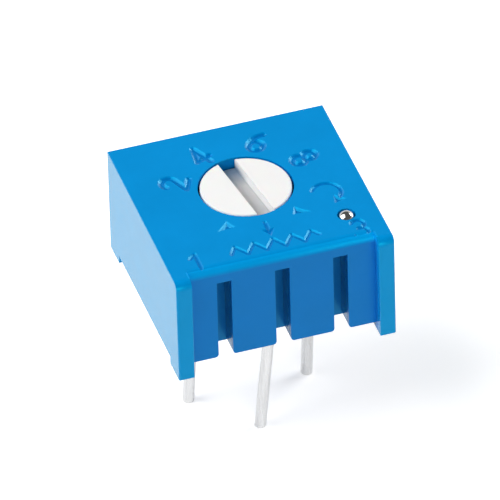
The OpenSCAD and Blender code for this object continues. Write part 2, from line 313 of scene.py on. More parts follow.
def point_up(piece: bpy.types.Object, z: float, facing: float = 0.8, near: float = 0.0005) -> None:
    """Applies a piece's modifiers and turns the normals of its nearly level faces at height z straight up.

    Args:
        piece: The piece.
        z: Height of its flat top, in millimetres.
        facing: Upward part of a face's normal above which the face is nearly level.
        near: Distance from the flat top within which a point lies on it, in millimetres.
    """
    mesh = applied(piece, piece.data.name)
    piece.modifiers.clear()
    piece.data = mesh
    normals = read(mesh.corner_normals, "vector")
    heights = read(mesh.vertices, "co")[read(mesh.loops, "vertex_index", int, 1), 2] / MM
    sizes = read(mesh.polygons, "loop_total", int, 1)
    level = np.repeat(read(mesh.polygons, "normal")[:, 2] > facing, sizes)
    normals[level & (np.abs(heights - z) < near)] = (0, 0, 1)
    mesh.normals_split_custom_set(normals.tolist())


def placed(name: str, data: Any) -> bpy.types.Object:
    """Puts a new object with the given data into the scene, at the origin, unturned and unscaled."""
    item = bpy.data.objects.new(name, data)
    bpy.context.scene.collection.objects.link(item)
    return item


def carve(name: str, base: bpy.types.Mesh, tools: Sequence[tuple[bpy.types.Mesh, str]]) -> bpy.types.Mesh:
    """A solid after other solids are added to it or cut from it.

    Args:
        name: Name of the new mesh.
        base: The closed mesh to start from.
        tools: The closed mesh of each tool, and UNION or DIFFERENCE.

    Returns:
        The new mesh.
    """
    work = placed("blank", base)
    helpers = [placed("tool", tool) for tool, _ in tools]
    for helper, (_, operation) in zip(helpers, tools):
        step = work.modifiers.new(operation.lower(), "BOOLEAN")
        step.object, step.operation, step.solver = helper, operation, "MANIFOLD"
    mesh = applied(work, name)
    for item in [work, *helpers]:
        bpy.data.objects.remove(item)
    return mesh


def add_piece(
    mesh: bpy.types.Mesh,
    finish: bpy.types.Material,
    body: Body,
    replaces: Sequence[str] = (),
    sharp_deg: float = 35.0,
) -> bpy.types.Object:
    """Puts a mesh into the scene as a piece of the object.

    Args:
        mesh: The mesh, with its place in its points.
        finish: Its material.
        body: The body that it rides on.
        replaces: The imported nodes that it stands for.
        sharp_deg: Angle between faces above which an edge stays sharp.

    Returns:
        The piece's object.
    """
    if mesh.has_custom_normals:
        mesh.attributes.remove(mesh.attributes["custom_normal"])
    mesh.shade_smooth()
    mesh.set_sharp_from_angle(angle=math.radians(sharp_deg))
    mesh.materials.clear()
    mesh.materials.append(finish)
    piece = placed(mesh.name, mesh)
    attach(piece, body.value)
    if replaces:
        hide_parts(*replaces)
    LOG.info("%s: %d points, on %s", piece.name, len(mesh.vertices), body.value)
    return piece


def round_edges(piece: bpy.types.Object, width: float, steps: int, over_deg: float) -> None:
    """Rounds a piece's sharp edges a little.

    Args:
        piece: The piece.
        width: Width of the rounding in millimetres.
        steps: Number of steps across the rounding.
        over_deg: Angle between faces above which an edge is rounded.
    """
    bevel = piece.modifiers.new("edge_rounding", "BEVEL")
    bevel.width = width * MM
    bevel.segments = steps
    bevel.limit_method = "ANGLE"
    bevel.angle_limit = math.radians(over_deg)
    bevel.miter_outer = "MITER_ARC"


def keep_flat(piece: bpy.types.Object, large_faces: int = 90) -> None:
    """Keeps a piece's large flat faces flat in the light beside its rounded edges.

    Args:
        piece: The piece.
        large_faces: How far large faces lead small ones in the normals they share: 50 is not at all.
    """
    weights = piece.modifiers.new("flat_faces", "WEIGHTED_NORMAL")
    weights.keep_sharp = True
    weights.weight = large_faces


# ---- Finishes ----


class Nodes:
    """Short names for adding and joining the nodes of one node tree."""

    def __init__(self, tree: bpy.types.NodeTree) -> None:
        """Keeps the tree that the nodes go into."""
        self.tree = tree

    def add(self, kind: str, inputs: dict[Any, Any] | None = None, **settings: Any) -> bpy.types.Node:
        """Adds a node.

        Args:
            kind: The node's type without its ShaderNode prefix.
            inputs: A value or another node's socket for each named or numbered input.
            **settings: Properties of the node.

        Returns:
            The node.
        """
        node = self.tree.nodes.new("ShaderNode" + kind)
        for key, value in settings.items():
            setattr(node, key, value)
        self.put(node, inputs or {})
        return node

    def put(self, node: bpy.types.Node, inputs: dict[Any, Any]) -> None:
        """Gives inputs of a node another node's socket or a value, which for a colour is three numbers."""
        for key, value in inputs.items():
            socket = node.inputs[key]
            if isinstance(value, bpy.types.NodeSocket):
                self.tree.links.new(value, socket)
            else:
                socket.default_value = (*value, 1.0) if socket.type == "RGBA" else value

    def math(self, operation: str, *values: Any) -> bpy.types.NodeSocket:
        """Result of a math operation on values or sockets."""
        return self.add("Math", dict(enumerate(values)), operation=operation).outputs[0]

    def spread(self, value: Any, low: float, high: float, to_low: Any, to_high: Any) -> bpy.types.NodeSocket:
        """Value brought from the range low to high into the range to_low to to_high, and kept in it."""
        inputs = {"Value": value, "From Min": low, "From Max": high, "To Min": to_low, "To Max": to_high}
        return self.add("MapRange", inputs).outputs["Result"]

    def noise(self, place: Any, scale: Any, detail: float, rough: float) -> bpy.types.NodeSocket:
        """Height of a noise texture at a place."""
        inputs = {"Vector": place, "Scale": scale, "Detail": detail, "Roughness": rough}
        return self.add("TexNoise", inputs).outputs[0]

    def place_mm(self, stretch: Point = (1.0, 1.0, 1.0)) -> bpy.types.NodeSocket:
        """Object coordinates in millimetres, each divided by its stretch."""
        place = self.add("TexCoord").outputs["Object"]
        scale = tuple(1 / (MM * s) for s in stretch)
        return self.add("Mapping", {"Vector": place, "Scale": scale}).outputs[0]


def new_group(name: str, inputs: dict[str, Any], outputs: dict[str, str]) -> tuple[Nodes, Any, Any]:
    """Starts a node group with named inputs and outputs.

    Args:
        name: Name of the group.
        inputs: Default of each input: a number, or three numbers for a colour.
        outputs: Float or Color for each output.

    Returns:
        The group's nodes, its input node and its output node.
    """
    tree = bpy.data.node_groups.new(name, "ShaderNodeTree")
    for key, value in inputs.items():
        kind = "NodeSocketFloat" if isinstance(value, float) else "NodeSocketColor"
        socket = tree.interface.new_socket(name=key, in_out="INPUT", socket_type=kind)
        socket.default_value = value if isinstance(value, float) else (*value, 1.0)
    for key, kind in outputs.items():
        tree.interface.new_socket(name=key, in_out="OUTPUT", socket_type="NodeSocket" + kind)
    return Nodes(tree), tree.nodes.new("NodeGroupInput"), tree.nodes.new("NodeGroupOutput")


class Effect(Enum):
    """The shared effects, each a node group that is built once."""

    MOULDED = "moulded_grain"
    DRAWN = "drawn_streaks"
    SPECKS = "fine_specks"

    def tree(self) -> bpy.types.NodeTree:
        """The effect's node group, built at its first use."""
        found = bpy.data.node_groups.get(self.value)
        return found or EFFECT_BUILDERS[self](self.value)


SURFACE_OUTPUTS = {"Colour": "Color", "Roughness": "Float", "Height": "Float"}


def close_surface(
    nodes: Nodes, ends: Sequence[Any], shade: Any, uneven: Any, height: Any
) -> bpy.types.NodeTree:
    """Joins the outputs of a surface group.

    The colour is multiplied by 1 + shade spread times the shade, and the roughness is its own value plus
    its spread times the unevenness.

    Args:
        nodes: The group's nodes.
        ends: The group's input node and output node.
        shade: Socket that goes from -1 to 1.
        uneven: Socket with 0 in its middle.
        height: Socket of the height.

    Returns:
        The group.
    """
    given, result = ends[0].outputs, ends[1]
    factor = nodes.math("MULTIPLY_ADD", shade, given["Shade Spread"], 1.0)
    colour = nodes.add("VectorMath", {0: given["Colour"], "Scale": factor}, operation="SCALE").outputs[0]
    rough = nodes.math("MULTIPLY_ADD", uneven, given["Roughness Spread"], given["Roughness"])
    nodes.put(result, {"Colour": colour, "Roughness": rough, "Height": height})
    return nodes.tree


def build_moulded(name: str) -> bpy.types.NodeTree:
    """Moulded surface: cloudy patches shade the colour, and fine grain gives the height.

    The roughness is spread by the mean of patches and grain.

    Args:
        name: Name of the group.

    Returns:
        The group, with outputs Colour, Roughness and Height.
    """
    given = {"Colour": (0.5, 0.5, 0.5), "Shade Spread": 0.05, "Patch Scale": 0.6, "Grain Scale": 12.0,
             "Roughness": 0.4, "Roughness Spread": 0.1}
    nodes, *ends = new_group(name, given, SURFACE_OUTPUTS)
    place = nodes.place_mm()
    patches = nodes.noise(place, ends[0].outputs["Patch Scale"], detail=3.0, rough=0.6)
    grain = nodes.noise(place, ends[0].outputs["Grain Scale"], detail=3.0, rough=0.65)
    signed = nodes.spread(patches, 0.3, 0.7, -1.0, 1.0)
    mean = nodes.math("MULTIPLY_ADD", grain, 0.5, nodes.math("MULTIPLY", patches, 0.5))
    return close_surface(nodes, ends, signed, nodes.math("SUBTRACT", mean, 0.5), grain)


def build_drawn(name: str) -> bpy.types.NodeTree:
    """Drawn wire: noise that is stretched along Z shades the colour, the roughness and the height.

    Args:
        name: Name of the group.

    Returns:
        The group, with outputs Colour, Roughness and Height.
    """
    given = {"Colour": (0.7, 0.7, 0.7), "Shade Spread": 0.1, "Streak Scale": 9.0, "Roughness": 0.3,
             "Roughness Spread": 0.2}
    nodes, *ends = new_group(name, given, SURFACE_OUTPUTS)
    along, patchy = nodes.place_mm((1.0, 1.0, 14.0)), nodes.place_mm((1.0, 1.0, 3.0))
    streaks = nodes.noise(along, ends[0].outputs["Streak Scale"], detail=4.0, rough=0.6)
    patches = nodes.noise(patchy, scale=1.4, detail=3.0, rough=0.5)
    mixed = nodes.math("MULTIPLY_ADD", streaks, 0.6, nodes.math("MULTIPLY", patches, 0.4))
    signed = nodes.spread(mixed, 0.35, 0.65, -1.0, 1.0)
    return close_surface(nodes, ends, signed, signed, mixed)


def build_specks(name: str) -> bpy.types.NodeTree:
    """Sparse specks: cells whose own random value is under the share show a spot of the given size.

    Args:
        name: Name of the group.

    Returns:
        The group, with output Mask.
    """
    defaults = {"Cell Scale": 3.0, "Share": 0.1, "Spot Size": 0.08}
    nodes, source, result = new_group(name, defaults, {"Mask": "Float"})
    given = source.outputs
    cells = nodes.add("TexVoronoi", {"Vector": nodes.place_mm(), "Scale": given["Cell Scale"]}).outputs
    chance = nodes.add("SeparateColor", {0: cells["Color"]}).outputs[0]
    chosen = nodes.math("LESS_THAN", chance, given["Share"])
    soft_edge = nodes.math("MULTIPLY", given["Spot Size"], 1.6)
    spot = nodes.spread(cells["Distance"], given["Spot Size"], soft_edge, 1.0, 0.0)
    nodes.put(result, {"Mask": nodes.math("MULTIPLY", spot, chosen)})
    return nodes.tree


EFFECT_BUILDERS: dict[Effect, Callable[[str], bpy.types.NodeTree]] = {
    Effect.MOULDED: build_moulded,
    Effect.DRAWN: build_drawn,
    Effect.SPECKS: build_specks,
}


class Shader:
    """One material in the making: its nodes, its Principled shader and the shared effects in it."""

    def __init__(self, name: str) -> None:
        """Starts a material with an empty Principled shader.

        Args:
            name: Name of the material.
        """
        self.material = bpy.data.materials.new(name)
        self.material.use_nodes = True
        self.nodes = Nodes(self.material.node_tree)
        self.surface = self.material.node_tree.nodes["Principled BSDF"]

    def put(self, inputs: dict[str, Any]) -> None:
        """Gives the shader's inputs sockets, or values that are the same all over the surface."""
        self.nodes.put(self.surface, inputs)

    def effect(self, effect: Effect, inputs: dict[str, Any]) -> Any:
        """Places a shared effect.

        Args:
            effect: The effect.
            inputs: A value or a socket for each named input of its group.

        Returns:
            The group's outputs by name.
        """
        return self.nodes.add("Group", inputs, node_tree=effect.tree()).outputs

    def bump(self, height: bpy.types.NodeSocket, depth: float) -> None:
        """Joins a height from 0 to 1, which stands for a depth in millimetres, to the shader's normal."""
        bump = self.nodes.add("Bump", {"Height": height, "Distance": depth * MM})
        self.put({"Normal": bump.outputs["Normal"]})

    def mix(self, mask: Any, first: Any, second: Any) -> bpy.types.NodeSocket:
        """Colour that goes from first to second as the mask goes from 0 to 1."""
        return self.nodes.add("Mix", {0: mask, 6: first, 7: second}, data_type="RGBA").outputs[2]


@dataclass(frozen=True)
class Zone:
    """A box of the part's own space, in millimetres, with a colour and some roughness of its own.

    Its colour and roughness fade in over the distance fade inside its sides, and over the distance fall under
    its top. On the case and the rotor the colour mostly paints shade or light.
    """

    half_x: float
    y: tuple[float, float]
    top: float
    fade: float
    fall: float
    colour: Colour
    rougher: float = 0.0

    def mask(self, nodes: Nodes) -> bpy.types.NodeSocket:
        """1 inside the box and 0 outside it."""
        x, y, z = nodes.add("SeparateXYZ", {0: nodes.place_mm()}).outputs
        inside = nodes.spread(nodes.math("ABSOLUTE", x), self.half_x, self.half_x + self.fade, 1.0, 0.0)
        front, back = self.y
        for place, start, end in (
            (y, front, front + self.fade), (y, back, back - self.fade), (z, self.top, self.top - self.fall)
        ):
            inside = nodes.math("MULTIPLY", inside, nodes.spread(place, start, end, 0.0, 1.0))
        return inside


@dataclass(frozen=True)
class MouldedPlastic:
    """Finish of a moulded piece: fine grain over one colour, with zones and specks of other colours."""

    name: str
    colour: Colour
    roughness: float = 0.38
    roughness_spread: float = 0.16
    shade_spread: float = 0.04
    patch_scale: float = 0.5
    grain_scale: float = 14.0
    grain_depth: float = 0.0012
    gloss: float = 0.5
    gloss_tint: Colour = WHITE
    speck_colour: Colour = (0.2, 0.2, 0.2)
    speck_share: float = 0.0
    glow_through: float = 0.0
    glow_reach: float = 0.3
    zones: tuple[Zone, ...] = ()

    def material(self) -> bpy.types.Material:
        """Builds the material."""
        shader = Shader(self.name)
        colour, roughness = self.colour, self.roughness
        for zone in self.zones:
            mask = zone.mask(shader.nodes)
            colour = shader.mix(mask, colour, zone.colour)
            if zone.rougher:
                roughness = shader.nodes.math("MULTIPLY_ADD", mask, zone.rougher, roughness)
        if self.speck_share:
            specks = shader.effect(Effect.SPECKS, {"Share": self.speck_share})
            colour = shader.mix(specks["Mask"], colour, self.speck_colour)
        grain = shader.effect(Effect.MOULDED, {
            "Colour": colour, "Roughness": roughness, "Shade Spread": self.shade_spread,
            "Patch Scale": self.patch_scale, "Grain Scale": self.grain_scale,
            "Roughness Spread": self.roughness_spread,
        })
        shader.put({
            "Base Color": grain["Colour"], "Roughness": grain["Roughness"], "Specular IOR Level": self.gloss,
            "Specular Tint": self.gloss_tint, "Subsurface Weight": self.glow_through,
            "Subsurface Scale": self.glow_reach * MM,
        })
        shader.bump(grain["Height"], self.grain_depth)
        return shader.material


@dataclass(frozen=True)
class Metal:
    """Finish of a metal piece, with streaks along Z where it was drawn."""

    name: str
    colour: Colour
    roughness: float = 0.3
    roughness_spread: float = 0.1
    shade_spread: float = 0.08
    streak_scale: float = 9.0
    depth: float = 0.002

    def material(self) -> bpy.types.Material:
        """Builds the material."""
        shader = Shader(self.name)
        drawn = shader.effect(Effect.DRAWN, {
            "Colour": self.colour, "Shade Spread": self.shade_spread, "Streak Scale": self.streak_scale,
            "Roughness": self.roughness, "Roughness Spread": self.roughness_spread,
        })
        shader.put({"Base Color": drawn["Colour"], "Roughness": drawn["Roughness"], "Metallic": 1.0})
        shader.bump(drawn["Height"], self.depth)
        return shader.material


# Boxes where the case and the rotor get another colour than their plastic's own. The top-and-ends box holds the
# case's blue, and the other boxes paint shade or light into the colour.
# The case's blue, on all faces but the two sides.
CASE_TOP_AND_ENDS = Zone(4.75, (-9.0, 9.0), 20.0, 0.02, 0.1, (0.0, 0.28, 0.69))
# Painted shade: darker blue in the sunk marks, the rotor's bore and the vent hole, under the top face.
CASE_HOLLOWS_PAINTED_SHADE = Zone(4.65, (-4.03, 4.65), 10.565, 0.02, 0.045, (0.0, 0.2, 0.58))
# Painted light: lighter blue on the top's front strip, its rounded edge and the band of front face above the
# panel; the lip is also made rougher.
CASE_LIP_PAINTED_LIGHT_ROUGH = Zone(4.1, (-4.5, -4.03), 10.7, 0.06, 0.05, (0.0, 0.335, 0.8), rougher=0.14)
# Painted shade: darker blue on the front panel, recessed between the posts.
CASE_PANEL_PAINTED_SHADE = Zone(4.06, (-4.5, -2.6), 10.38, 0.08, 0.22, (0.004, 0.153, 0.56))
# Painted shade: dark navy deep in the grooves of the front panel.
CASE_GROOVES_PAINTED_SHADE = Zone(4.06, (-4.25, -2.6), 10.0, 0.15, 0.6, (0.0, 0.1, 0.38))
# Painted shade: grey below the slot's floor level, which shows on the slot's floor.
ROTOR_SLOT_PAINTED_SHADE = Zone(3.0, (-3.0, 3.0), 10.15, 0.05, 0.05, (0.6, 0.6, 0.61))
# Painted shade with a painted blue reflection of the case: darker blue-grey towards the slot's far end.
ROTOR_FAR_SLOT_PAINTED_SHADE = Zone(3.0, (1.2, 4.0), 10.5, 1.0, 0.35, (0.2, 0.27, 0.36))

# Its own colour shows only on the two side faces: a greener copy of the case's blue, painted for how the light
# falls on the sides.
CASE_PLASTIC = MouldedPlastic(
    "case_plastic", colour=(0.0, 0.3, 0.6), roughness=0.21, gloss=0.75, gloss_tint=(0.02, 0.85, 1.0),
    shade_spread=0.035, grain_depth=0.0007,
    zones=(CASE_TOP_AND_ENDS, CASE_HOLLOWS_PAINTED_SHADE, CASE_LIP_PAINTED_LIGHT_ROUGH, CASE_PANEL_PAINTED_SHADE, CASE_GROOVES_PAINTED_SHADE),
)
ROTOR_PLASTIC = MouldedPlastic(
    "rotor_plastic", colour=(0.9, 0.9, 0.89), roughness=0.5, gloss=0.3, shade_spread=0.015,
    grain_depth=0.001, speck_colour=(0.55, 0.5, 0.48), speck_share=0.03, glow_through=0.15,
    zones=(ROTOR_SLOT_PAINTED_SHADE, ROTOR_FAR_SLOT_PAINTED_SHADE),
)
SEAL_RUBBER = MouldedPlastic("seal_rubber", colour=(0.012, 0.012, 0.013), roughness=0.7, gloss=0.3)
CERAMIC = MouldedPlastic(
    "ceramic", colour=(0.84, 0.82, 0.77), roughness=0.65, shade_spread=0.03, grain_scale=25.0, gloss=0.3,
)
RESISTIVE_FILM = MouldedPlastic(
    "resistive_film", colour=(0.02, 0.018, 0.016), roughness=0.55, shade_spread=0.15, grain_scale=30.0,
)
SEAL_RESIN = MouldedPlastic(
    "seal_resin", colour=(0.01, 0.045, 0.13), roughness=0.22, shade_spread=0.12, patch_scale=0.9,
    grain_scale=4.0, grain_depth=0.004,
)
LEAD_METAL = Metal("lead_metal", colour=(0.68, 0.68, 0.675), roughness=0.26, depth=0.003, shade_spread=0.1)
BALL_STEEL = Metal("ball_steel", colour=(0.62, 0.61, 0.6), roughness=0.1, roughness_spread=0.04, depth=0.0003)
SPRING_METAL = Metal(
    "spring_metal", colour=(0.78, 0.62, 0.36), roughness=0.25, streak_scale=14.0, depth=0.0005,
)
CONDUCTOR_FILM = Metal("conductor_film", colour=(0.72, 0.71, 0.68), roughness=0.45, streak_scale=18.0)
SOLDER = Metal("solder", colour=(0.66, 0.67, 0.69), roughness=0.28, streak_scale=3.0)


# ---- Pieces ----


@dataclass
class Case:
    """The moulded case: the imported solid's own form, its sharp edges a little rounded, and its sunk marks."""

    same_point: float = 0.001
    flat_deg: float = 0.2
    edge_rounding: float = 0.03
    rounding_steps: int = 2
    rounded_over_deg: float = 40.0

    def build(self) -> None:
        """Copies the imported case, joins its flat triangles to whole faces, rounds it and cuts the marks."""
        mesh = frame["nodes"]["housing"].data.copy()
        work = bmesh.new()
        work.from_mesh(mesh)
        bmesh.ops.remove_doubles(work, verts=work.verts, dist=self.same_point * MM)
        flat = math.radians(self.flat_deg)
        bmesh.ops.dissolve_limit(work, angle_limit=flat, verts=work.verts, edges=work.edges)
        work.to_mesh(mesh)
        work.free()
        top = float(node_box("housing")[1][2])
        tools = [(tool, "DIFFERENCE") for tool in Marks().tools(top)]
        shell = carve("case_shell", self.rounded(mesh), tools)
        piece = add_piece(shell, CASE_PLASTIC.material(), Body.CASE, ["housing"])
        keep_flat(piece)
        point_up(piece, top)

    def rounded(self, mesh: bpy.types.Mesh) -> bpy.types.Mesh:
        """The case's mesh with its sharp edges rounded for good."""
        work = placed("plain_case", mesh)
        round_edges(work, self.edge_rounding, self.rounding_steps, self.rounded_over_deg)
        done = applied(work, "plain_case")
        bpy.data.objects.remove(work)
        return done


@dataclass
class Rotor:
    """The slotted rotor, a turned form with a straight slot, a stop lug and two stakes under its flange."""

    turn_deg: float = 8.0
    head_r: float = 1.935
    rim_rounding: float = 0.08
    flange_r: float = 2.95
    flange_low: float = 8.37
    flange_high: float = 9.02
    flange_rounding: float = 0.06
    flange_steps: int = 5
    slot_w: float = 0.79
    slot_depth: float = 0.5
    slot_edge: float = 0.07
    edge_over_deg: float = 50.0
    edge_steps: int = 3
    lug_r: float = 3.33
    lug_half_deg: float = 5.0
    stake_x: float = 0.95
    stake_r: float = 0.2
    stake_head_r: float = 0.3
    stake_low: float = 8.2
    stake_high: float = 8.27
    stake_steps: int = 32
    overlap: float = 0.1
    clear: float = 0.5
    steps: int = 192
    arc_steps: int = 7

    def build(self) -> None:
        """Turns the body, adds the lug and the stakes, cuts the slot and dresses the rotor."""
        axis = np.array(frame["joints"][0]["pos_m"][:2]) / MM
        top = node_box("rotor")[1][2]
        body = mesh_of("body", revolve(self.profile(top), axis, self.steps))
        parts = [(self.lug(axis), "UNION"), *((self.stake(axis, side), "UNION") for side in (-1, 1))]
        mesh = carve("slotted_rotor", body, [*parts, (self.slot(axis, top), "DIFFERENCE")])
        piece = add_piece(mesh, ROTOR_PLASTIC.material(), Body.ROTOR, ["rotor"])
        round_edges(piece, self.slot_edge, self.edge_steps, self.edge_over_deg)
        keep_flat(piece)

    def profile(self, top: float) -> np.ndarray:
        """Radius and height from the flange's underside over the neck to the middle of the top face."""
        r, f = self.rim_rounding, self.flange_rounding
        low = arc((self.flange_r - f, self.flange_low + f), f, -90, 0, self.flange_steps)
        high = arc((self.flange_r - f, self.flange_high - f), f, 0, 90, self.flange_steps)
        rim = arc((self.head_r - r, top - r), r, 0, 90, self.arc_steps)
        first, neck, last = [[0, self.flange_low]], [[self.head_r, self.flange_high]], [[0, top]]
        return np.concatenate([first, low, high, neck, rim, last])

    def turned(self, axis: np.ndarray, points: np.ndarray) -> np.ndarray:
        """Points of the rotor's own plane, turned with its slot and moved to its axis."""
        return axis + points @ turn_matrix(self.turn_deg)

    def lug(self, axis: np.ndarray) -> bpy.types.Mesh:
        """The lug on the flange that meets the case's stop: a prism from the flange out to an arc."""
        outer = arc((0, 0), self.lug_r, 90 - self.lug_half_deg, 90 + self.lug_half_deg, self.arc_steps)
        outline = np.concatenate([outer, outer[::-1] / 2])
        return mesh_of("lug", extrude(self.turned(axis, outline), self.flange_low, self.flange_high))

    def slot(self, axis: np.ndarray, top: float) -> bpy.types.Mesh:
        """The block that the slot is cut with."""
        outline = rectangle(self.slot_w / 2, self.head_r + self.clear)
        return mesh_of("slot", extrude(self.turned(axis, outline), top - self.slot_depth, top + self.clear))

    def stake(self, axis: np.ndarray, side: int) -> bpy.types.Mesh:
        """One heat stake: a stem from the flange through the spring, and a domed head under it."""
        centre = self.turned(axis, np.array([side * self.stake_x, 0.0]))
        size = [self.stake_head_r, self.stake_high - self.stake_low]
        dome = arc((0, 0), 1, -90, 0, self.arc_steps) * size + [0, self.stake_high]
        dome[0, 0] = 0.0
        r, high = self.stake_r, self.flange_low + self.overlap
        stem = [[r, self.stake_high], [r, high], [0, high]]
        return mesh_of("stake", revolve(np.concatenate([dome, stem]), centre, self.stake_steps))


@dataclass(frozen=True)
class Lead:
    """One round lead, upright in the case, bent under it and cut off level with the floor."""

    node: str
    root: tuple[float, float]
    splay: tuple[float, float]


@dataclass
class Leads:
    """The three round leads."""

    radius: float = 0.255
    top: float = 7.71
    bend_z: float = 5.805
    bend_run: float = 0.27
    end_rounding: float = 0.03
    end_share: float = 0.3
    round_steps: int = 48
    bend_steps: int = 9
    leg_steps: int = 12
    leads: tuple[Lead, ...] = (
        Lead("lead_1", (-2.54, 0.135), (-0.34, 0.19)),
        Lead("lead_2", (0.0, -2.405), (-0.52, 0.14)),
        Lead("lead_3", (2.54, 0.135), (-0.12, 0.29)),
    )

    def build(self) -> None:
        """Builds and dresses the leads."""
        finish = LEAD_METAL.material()
        for lead in self.leads:
            mesh = mesh_of(lead.node.replace("lead", "round_lead"), self.surface(lead))
            add_piece(mesh, finish, Body.CASE, [lead.node], sharp_deg=60)

    def surface(self, lead: Lead) -> Grid:
        """Circle carried along the lead's middle line.

        The line is straight down to bend_run over the bend, a parabola to bend_run under it, and straight
        to the floor. At drop u, from 0 to 1 through the bend, its sideways slope is the splay's slope times
        u. The circle stays level and keeps its size, because the lean is small, and it is drawn in at the
        two cut ends.

        Args:
            lead: The lead.

        Returns:
            Points and faces.
        """
        slope = np.array(lead.splay) / self.bend_z
        e, small = self.end_rounding, self.end_share * self.end_rounding
        start, stop = self.bend_z + self.bend_run, self.bend_z - self.bend_run
        body = np.concatenate([[self.top, self.top, self.top - small, self.top - e],
                               np.linspace(start, stop, self.bend_steps),
                               np.linspace(stop, 0, self.leg_steps)[1:-1], [e, small, 0, 0]])
        size = np.ones(len(body))
        size[:3] = size[-3:][::-1] = [0, 1 - e / self.radius, 1 - small / self.radius]
        run = np.clip(start - body, 0, None)
        bent = np.minimum(run, 2 * self.bend_run)
        side = bent**2 / (4 * self.bend_run) + (run - bent)
        middle = np.array(lead.root) + side[:, None] * slope
        a = np.linspace(0, FULL_TURN, self.round_steps, endpoint=False)
        ring = np.stack([np.cos(a), np.sin(a)], axis=-1) * self.radius
        flat = middle[:, None] + ring[None] * size[:, None, None]
        z = np.repeat(body[:, None, None], self.round_steps, axis=1)
        points = np.concatenate([flat, z], axis=-1)
        return points, sheet_faces(len(body), self.round_steps, wrap_columns=True)


@dataclass
class VentBall:
    """The steel ball in the vent hole."""

    steps: int = 64

    def build(self) -> None:
        """Turns a half circle round the upright axis, which gives the ball, and dresses it."""
        low, high = node_box("vent_ball")
        middle, radius = (low + high) / 2, (high - low)[0] / 2
        half = arc((0, middle[2]), radius, -90, 90, self.steps // 2 + 1)
        half[[0, -1], 0] = 0.0
        mesh = mesh_of("steel_ball", revolve(half, middle[:2], self.steps))
        add_piece(mesh, BALL_STEEL.material(), Body.CASE, ["vent_ball"])


def bow(centre: Sequence[float], radius: float, start: float, end: float, steps: int) -> list[list[float]]:
    """Points along an arc as a plain list, which the members of an Enum can be told apart by."""
    return arc(centre, radius, start, end, steps).tolist()


class Glyph(Enum):
    """Plain numerals one unit high, each as strokes of corners, with True where a stroke is closed."""

    ONE = (([(-0.2, 0.28), (0.03, 0.5), (0.03, -0.5)], False),)
    TWO = (([*bow((0, 0.22), 0.28, 165, -38, 14), (-0.29, -0.5), (0.3, -0.5)], False),)
    THREE = ((bow((0, 0.25), 0.25, 150, -95, 14), False), (bow((0, -0.23), 0.27, 95, -155, 14), False))
    FOUR = (([(0.12, -0.5), (0.12, 0.5), (-0.3, -0.2)], False), ([(-0.3, -0.2), (0.3, -0.2)], False))
    SIX = ((bow((0, -0.22), 0.28, 0, 345, 24), True), (bow((0.529, -0.22), 0.809, 176, 117, 8), False))
    EIGHT = ((bow((0, 0.26), 0.24, 0, 345, 20), True), (bow((0, -0.23), 0.27, 0, 345, 24), True))


@dataclass(frozen=True)
class Numeral:
    """A numeral on the case's top: its glyph, its middle, its height, and its turn from upright."""

    glyph: Glyph
    middle: tuple[float, float]
    height: float
    turn_deg: float = 0.0


